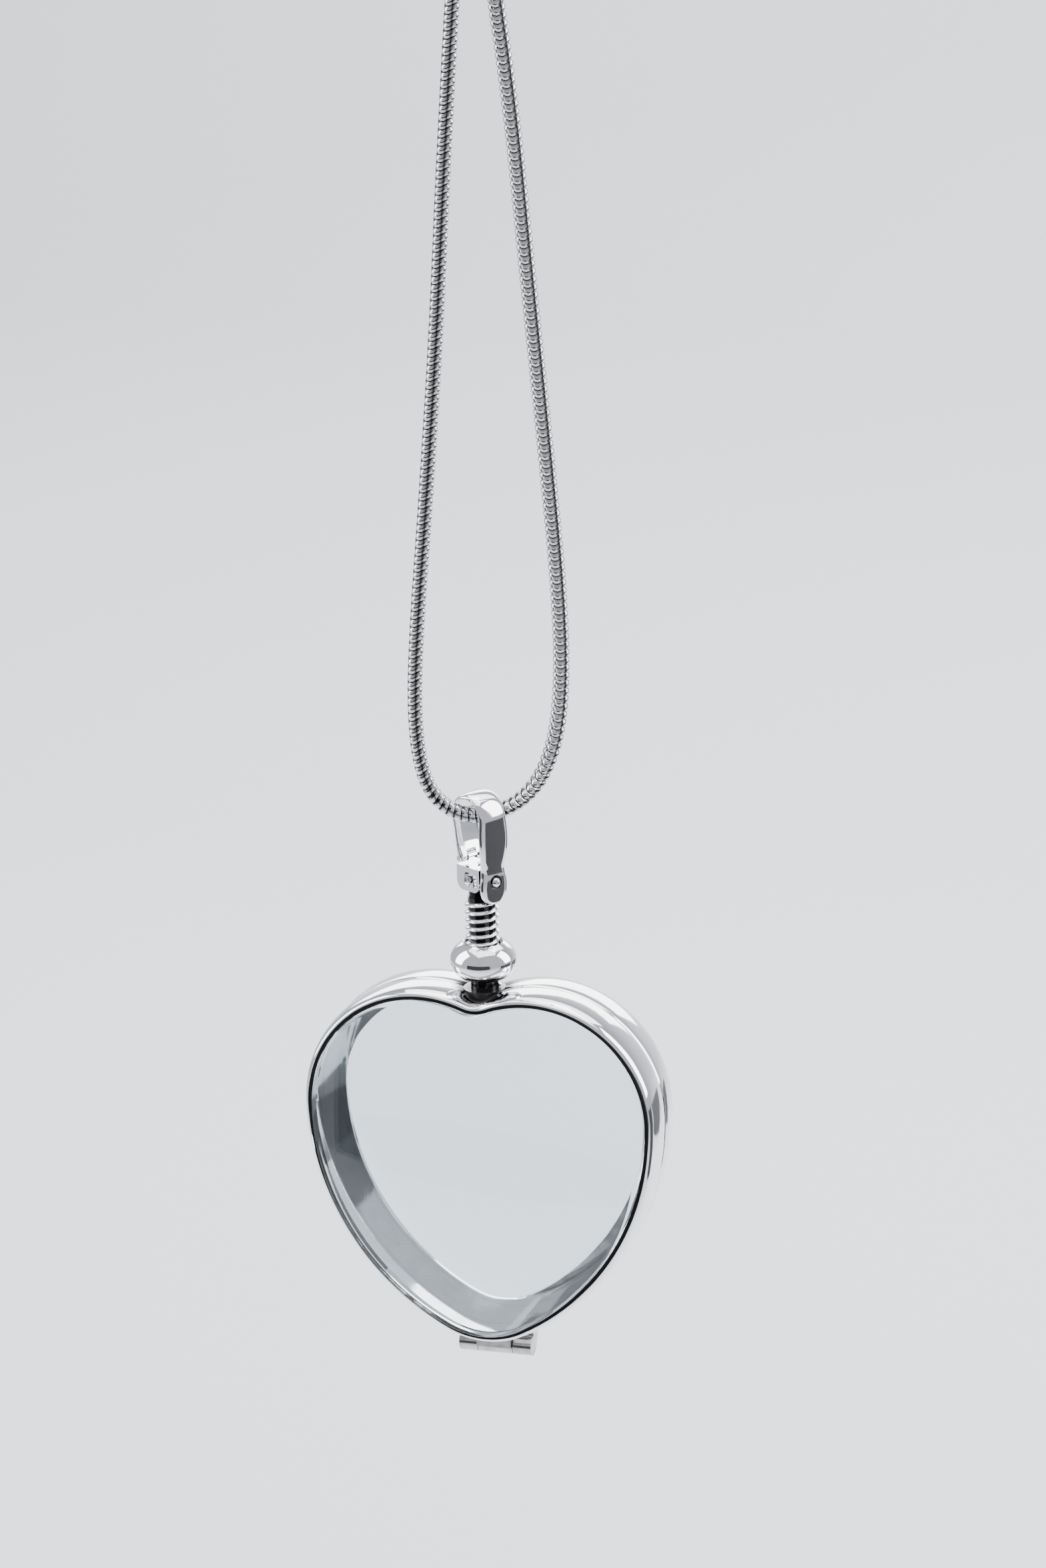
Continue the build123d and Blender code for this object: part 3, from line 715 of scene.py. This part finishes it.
def polish_group():
    """Fine scratches and cloudy patches, as a roughness, a height and a mask."""
    inputs = [("Scratch Scale", 900.0), ("Smooth", 0.05), ("Rough", 0.16)]
    outputs = [(label, "NodeSocketFloat") for label in ("Roughness", "Height", "Haze")]
    group, given, result = new_group("polish_haze", inputs, outputs)
    nodes, links = group.nodes, group.links
    where = nodes.new("ShaderNodeTexCoord")
    stretch = nodes.new("ShaderNodeMapping")
    stretch.inputs["Scale"].default_value = (1.0, 1.0, 0.12)
    stretch.inputs["Rotation"].default_value = (0.3, 0.5, 0.2)
    links.new(where.outputs["Object"], stretch.inputs["Vector"])
    scratch = nodes.new("ShaderNodeTexNoise")
    scratch.inputs["Detail"].default_value = 6
    links.new(stretch.outputs["Vector"], scratch.inputs["Vector"])
    scale = nodes.new("ShaderNodeMath")
    scale.operation = "MULTIPLY"
    scale.inputs[1].default_value = 6.0
    links.new(given.outputs["Scratch Scale"], scale.inputs[0])
    links.new(scale.outputs[0], scratch.inputs["Scale"])
    cloud = nodes.new("ShaderNodeTexNoise")
    cloud.inputs["Detail"].default_value = 3
    links.new(where.outputs["Object"], cloud.inputs["Vector"])
    links.new(given.outputs["Scratch Scale"], cloud.inputs["Scale"])
    patch = nodes.new("ShaderNodeValToRGB")
    patch.color_ramp.elements[0].position = 0.38
    patch.color_ramp.elements[1].position = 0.72
    links.new(cloud.outputs["Fac"], patch.inputs["Fac"])
    level_mix = nodes.new("ShaderNodeMix")
    links.new(patch.outputs["Color"], level_mix.inputs["Factor"])
    links.new(given.outputs["Smooth"], level_mix.inputs["A"])
    links.new(given.outputs["Rough"], level_mix.inputs["B"])
    links.new(level_mix.outputs["Result"], result.inputs["Roughness"])
    links.new(scratch.outputs["Fac"], result.inputs["Height"])
    links.new(patch.outputs["Color"], result.inputs["Haze"])
    return group


POLISH = polish_group()
print("group", POLISH.name, "has", len(POLISH.nodes), "nodes")


# %% [markdown]
# Shade is painted into the silver's colour where little light reaches: under the ball,
# between the turns of the thread and at the bottom of the catch's hole.  A second
# group measures how far a place is from a centre, and turns that into a soft
# mask of painted shade.  A stretch of nothing along Z measures from an upright
# line instead of from a point.

# %% A node group for painted shade near a place
def painted_shade_group():
    """A mask that is 1 within Near of a centre and 0 beyond Far, in millimetres."""
    reach = [("Near", 1.0), ("Far", 2.0)]
    group, given, result = new_group("painted_shade_near", reach, [("Mask", "NodeSocketFloat")])
    for label in ("Centre", "Stretch"):
        group.interface.new_socket(label, in_out="INPUT", socket_type="NodeSocketVector")
    nodes, links = group.nodes, group.links
    where = nodes.new("ShaderNodeTexCoord")
    away = nodes.new("ShaderNodeVectorMath")
    away.operation = "SUBTRACT"
    links.new(where.outputs["Object"], away.inputs[0])
    links.new(given.outputs["Centre"], away.inputs[1])
    shaped_away = nodes.new("ShaderNodeVectorMath")
    shaped_away.operation = "MULTIPLY"
    links.new(away.outputs["Vector"], shaped_away.inputs[0])
    links.new(given.outputs["Stretch"], shaped_away.inputs[1])
    length = nodes.new("ShaderNodeVectorMath")
    length.operation = "LENGTH"
    links.new(shaped_away.outputs["Vector"], length.inputs[0])
    fade = nodes.new("ShaderNodeMapRange")
    fade.interpolation_type = "SMOOTHSTEP"
    fade.inputs["To Min"].default_value = 1.0
    fade.inputs["To Max"].default_value = 0.0
    links.new(length.outputs["Value"], fade.inputs["Value"])
    links.new(given.outputs["Near"], fade.inputs["From Min"])
    links.new(given.outputs["Far"], fade.inputs["From Max"])
    links.new(fade.outputs["Result"], result.inputs["Mask"])
    return group


PAINTED_SHADE = painted_shade_group()
print("group", PAINTED_SHADE.name, "has", len(PAINTED_SHADE.nodes), "nodes")
# The near-black colour of the painted shade.
PAINTED_SHADE_TONE = (0.025, 0.023, 0.024, 1)


def paint_shade(material, centre, near, far, stretch=(1, 1, 1), outside=False):
    """Paint shade into a metal's colour near a centre, or everywhere but near it."""
    nodes, links = material.node_tree.nodes, material.node_tree.links
    shader = nodes["Principled BSDF"]
    spot = nodes.new("ShaderNodeGroup")
    spot.node_tree = PAINTED_SHADE
    spot.inputs["Centre"].default_value = centre
    spot.inputs["Stretch"].default_value = [value / MM for value in stretch]
    spot.inputs["Near"].default_value = near
    spot.inputs["Far"].default_value = far
    dark = nodes.new("ShaderNodeMix")
    dark.data_type = "RGBA"
    clean = shader.inputs["Base Color"].links[0].from_socket
    first, second = ("B", "A") if outside else ("A", "B")
    links.new(clean, dark.inputs[first])
    dark.inputs[second].default_value = PAINTED_SHADE_TONE
    links.new(spot.outputs["Mask"], dark.inputs["Factor"])
    links.new(dark.outputs["Result"], shader.inputs["Base Color"])
    return material


# %% Metal finishes
def metal(name, bright, dull, smooth, rough, bump, scale=900.0):
    """A polished metal whose colour and roughness drift with the haze."""
    material = bpy.data.materials.new(name)
    material.use_nodes = True
    nodes, links = material.node_tree.nodes, material.node_tree.links
    shader = nodes["Principled BSDF"]
    shader.inputs["Metallic"].default_value = 1.0
    haze = nodes.new("ShaderNodeGroup")
    haze.node_tree = POLISH
    haze.inputs["Scratch Scale"].default_value = scale
    haze.inputs["Smooth"].default_value = smooth
    haze.inputs["Rough"].default_value = rough
    links.new(haze.outputs["Roughness"], shader.inputs["Roughness"])
    tone = nodes.new("ShaderNodeMix")
    tone.data_type = "RGBA"
    tone.inputs["A"].default_value = (*bright, 1)
    tone.inputs["B"].default_value = (*dull, 1)
    links.new(haze.outputs["Haze"], tone.inputs["Factor"])
    links.new(tone.outputs["Result"], shader.inputs["Base Color"])
    dent = nodes.new("ShaderNodeBump")
    dent.inputs["Strength"].default_value = bump
    dent.inputs["Distance"].default_value = 0.00002
    links.new(haze.outputs["Height"], dent.inputs["Height"])
    links.new(dent.outputs["Normal"], shader.inputs["Normal"])
    return material


BRIGHT = (0.94, 0.94, 0.95)
DULL = (0.88, 0.88, 0.89)
silver = metal("polished_silver", BRIGHT, DULL, 0.04, 0.10, 0.08)
# The frames' silver has painted shade at the notch under the ball.
frame_silver_painted_shade = metal("frame_silver_painted_shade", BRIGHT, DULL, 0.04, 0.10, 0.08)
paint_shade(frame_silver_painted_shade, at(0, 0, -15.2), 1.9, 3.1)
# Painted shade between the turns of the thread, inside a radius round the stud's upright line.
screw_silver_painted_shade = metal("screw_silver_painted_shade", BRIGHT, DULL, 0.06, 0.14, 0.1)
paint_shade(screw_silver_painted_shade, at(0, 0, 0), 1.12, 1.27, stretch=(1, 1, 0))
# The collars stand in the shadow under the ball: their dark colour and the mask near the notch are
# painted shade.
collar_silver_painted_shade = metal("collar_silver_painted_shade", (0.3, 0.29, 0.28), (0.2, 0.19, 0.19), 0.2, 0.35, 0.1)
paint_shade(collar_silver_painted_shade, at(0, 0, -15.2), 0.5, 2.4)
# The catch ball is painted dark as shade in its hole, all but a small bright spot at its centre.
catch_silver_painted_shade = metal("catch_silver_painted_shade", BRIGHT, DULL, 0.04, 0.10, 0.08)
catch_centre = Matrix.Rotation(BAIL_TURN, 3, "Z") @ Vector((1.86, 0, CATCH_Z))
paint_shade(catch_silver_painted_shade, at(*catch_centre), 0.4, 0.46, outside=True)
hinge_silver = metal("hinge_silver", (0.62, 0.6, 0.58), (0.42, 0.4, 0.39), 0.12, 0.25, 0.1)
chain_silver = metal("chain_silver", (0.93, 0.93, 0.94), (0.84, 0.84, 0.84), 0.08, 0.18, 0.12)
steel = metal("turned_steel", (0.66, 0.66, 0.68), (0.56, 0.56, 0.58), 0.18, 0.34, 0.25)


def paint_valley_shade(material):
    """Paint shade into the chain's colour where its rings carry a high valley shade value."""
    nodes, links = material.node_tree.nodes, material.node_tree.links
    shader = nodes["Principled BSDF"]
    valley_shade = nodes.new("ShaderNodeAttribute")
    valley_shade.attribute_name = "valley_shade"
    dark = nodes.new("ShaderNodeMix")
    dark.data_type = "RGBA"
    clean = shader.inputs["Base Color"].links[0].from_socket
    links.new(clean, dark.inputs["A"])
    dark.inputs["B"].default_value = PAINTED_SHADE_TONE
    links.new(valley_shade.outputs["Fac"], dark.inputs["Factor"])
    links.new(dark.outputs["Result"], shader.inputs["Base Color"])


# The chain_silver finish carries painted shade in the chain's grooves and between its rings.
paint_valley_shade(chain_silver)
print("the chain's valleys are dark")

# %% [markdown]
# The crystal is clear, with the faintest smudges of handling, and the seal is a
# dull near-black.

# %% Crystal and seal finishes
def clear_glass():
    """Clear crystal with faint smudges."""
    material = bpy.data.materials.new("crystal_glass")
    material.use_nodes = True
    nodes, links = material.node_tree.nodes, material.node_tree.links
    shader = nodes["Principled BSDF"]
    shader.inputs["Base Color"].default_value = (0.90, 0.945, 0.958, 1)
    shader.inputs["Transmission Weight"].default_value = 1.0
    shader.inputs["IOR"].default_value = 1.49
    haze = nodes.new("ShaderNodeGroup")
    haze.node_tree = POLISH
    haze.inputs["Scratch Scale"].default_value = 160.0
    haze.inputs["Smooth"].default_value = 0.0
    haze.inputs["Rough"].default_value = 0.03
    links.new(haze.outputs["Roughness"], shader.inputs["Roughness"])
    return material


def dark_seal():
    """A near-black seal with a little grain."""
    material = bpy.data.materials.new("dark_seal")
    material.use_nodes = True
    nodes, links = material.node_tree.nodes, material.node_tree.links
    shader = nodes["Principled BSDF"]
    grain = nodes.new("ShaderNodeTexNoise")
    where = nodes.new("ShaderNodeTexCoord")
    grain.inputs["Scale"].default_value = 4000
    links.new(where.outputs["Object"], grain.inputs["Vector"])
    tone = nodes.new("ShaderNodeMix")
    tone.data_type = "RGBA"
    tone.inputs["A"].default_value = (0.004, 0.004, 0.006, 1)
    tone.inputs["B"].default_value = (0.012, 0.010, 0.014, 1)
    links.new(grain.outputs["Fac"], tone.inputs["Factor"])
    links.new(tone.outputs["Result"], shader.inputs["Base Color"])
    shader.inputs["Roughness"].default_value = 0.6
    shader.inputs["Specular IOR Level"].default_value = 0.15
    return material


crystal_glass = clear_glass()
seal_dark = dark_seal()

# %% Give every piece its finish
BY_SLOT = {
    "polished_silver": silver,
    "crystal_glass": crystal_glass,
    "gasket_black": seal_dark,
    "nut_steel": steel,
    "chain_silver": chain_silver,
}
SLOT_OF = {entry["node"]: entry["material_slot"] for entry in frame["record"]["subparts"]}
DARKER = {
    "threaded_stud": screw_silver_painted_shade,
    "front_half_lug": screw_silver_painted_shade,
    "front_collar": collar_silver_painted_shade,
    "rear_collar": collar_silver_painted_shade,
    "bail_catch_ball": catch_silver_painted_shade,
    "hinge_knuckle_left": hinge_silver,
    "hinge_knuckle_middle": hinge_silver,
    "hinge_knuckle_right": hinge_silver,
}
NEW_FINISH = {
    "snake_chain_rings": chain_silver,
    "front_heart_frame": frame_silver_painted_shade,
    "rear_heart_frame": frame_silver_painted_shade,
    "front_glass_heart": crystal_glass,
    "rear_glass_heart": crystal_glass,
    "front_seal": seal_dark,
    "rear_seal": seal_dark,
    "screw_ball": silver,
    "polished_bail": silver,
}


def wear(piece, material):
    """Put one material on a piece, in place of any it has."""
    if not piece.material_slots:
        piece.data.materials.append(material)
    for slot in piece.material_slots:
        slot.material = material


for name, node in frame["nodes"].items():
    wear(node, DARKER.get(name, BY_SLOT[SLOT_OF[name]]))
for name, material in NEW_FINISH.items():
    wear(pieces[name], material)
print(len(frame["nodes"]), "CAD nodes and", len(NEW_FINISH), "new pieces have a finish")

# %% [markdown]
# ## The studio
#
# Polished silver needs large, pale things to mirror.  A pale floor runs up into
# a pale wall, and soft lights stand left, right, above and behind.  Three dark
# cards, hidden from the camera, give the metal the dark patches that make it
# read as metal.  They can still be seen through the crystals.

# %% Floor, wall and lights
def plain(name, tone, rough=0.9):
    """A plain matt stage material."""
    material = bpy.data.materials.new(name)
    material.use_nodes = True
    shader = material.node_tree.nodes["Principled BSDF"]
    shader.inputs["Base Color"].default_value = (*tone, 1)
    shader.inputs["Roughness"].default_value = rough
    shader.inputs["Specular IOR Level"].default_value = 0.1
    return material


def sweep_of_paper():
    """A floor that curves up into a wall, far behind the locket."""
    bm = bmesh.new()
    start = bmesh.ops.create_vert(bm, co=(-3, -3, -0.5))["vert"]
    row = start
    for step in ((0, 4.2, 0), (0, 0.35, 0.08), (0, 0.25, 0.25), (0, 0.08, 0.35), (0, 0, 2.6)):
        grown = bmesh.ops.extrude_vert_indiv(bm, verts=row)
        row = grown["verts"]
        bmesh.ops.translate(bm, verts=row, vec=step)
    grown = bmesh.ops.extrude_edge_only(bm, edges=list(bm.edges))["geom"]
    corners = [item for item in grown if isinstance(item, bmesh.types.BMVert)]
    bmesh.ops.translate(bm, verts=corners, vec=(6, 0, 0))
    return bm


paper = finish_mesh(sweep_of_paper(), "paper_sweep", sharp=80)
wear(paper, plain("paper", (0.78, 0.79, 0.81)))


def soft_light(name, spot, size, power, tone=(1, 1, 1), target=at(0, 0, -20)):
    """A square soft light that points at the locket, or at another target."""
    light_data = bpy.data.lights.new(name, "AREA")
    light_data.shape = "RECTANGLE"
    light_data.size = size[0]
    light_data.size_y = size[1]
    light_data.energy = power
    light_data.color = tone
    light = bpy.data.objects.new(name, light_data)
    bpy.context.scene.collection.objects.link(light)
    light.location = spot
    aim = Vector(target) - Vector(spot)
    light.rotation_euler = aim.to_track_quat("-Z", "Y").to_euler()
    return light


soft_light("light_left", (-0.75, -0.2, 0.25), (0.5, 0.9), 10, (0.93, 0.97, 1.0))
soft_light("light_right", (0.8, 0.25, 0.3), (0.5, 0.9), 10)
soft_light("light_top", (0.0, 0.0, 0.8), (0.9, 0.9), 7)
soft_light("light_high", (0.0, 0.7, 1.3), (1.6, 1.0), 18, (0.96, 0.98, 1.0))
soft_light("light_wall", (-0.25, 0.95, 0.7), (1.2, 0.4), 17, (0.9, 0.95, 1.0), (-0.1, 1.9, -0.15))
soft_light("light_back", (-0.35, 1.35, 0.42), (1.8, 0.5), 14)

world = bpy.data.worlds.new("studio")
bpy.context.scene.world = world
world.use_nodes = True
world.node_tree.nodes["Background"].inputs["Color"].default_value = (0.88, 0.92, 1.0, 1)
world.node_tree.nodes["Background"].inputs["Strength"].default_value = 0.7


# %% Dark cards that the metal mirrors
def dark_card(name, spot, size, tone):
    """A matt card that faces the locket and is hidden from the camera itself."""
    bm = bmesh.new()
    bmesh.ops.create_grid(bm, x_segments=1, y_segments=1, size=0.5)
    bmesh.ops.scale(bm, verts=bm.verts, vec=(size[0], size[1], 1))
    aim = at(0, 0, -22) - Vector(spot)
    turned = aim.to_track_quat("Z", "Y").to_matrix().to_4x4()
    bmesh.ops.transform(bm, matrix=Matrix.Translation(spot) @ turned, verts=bm.verts)
    card = finish_mesh(bm, name)
    wear(card, plain(name, (tone, tone, tone * 1.05)))
    card.visible_camera = False


dark_card("card_front", (0.0, -0.92, -0.28), (1.5, 0.5), 0.03)
dark_card("card_right", (0.6, 0.08, -0.36), (0.5, 0.34), 0.045)
dark_card("card_back", (0.62, 0.75, -0.4), (0.5, 0.3), 0.1)
print("three dark cards stand out of view")
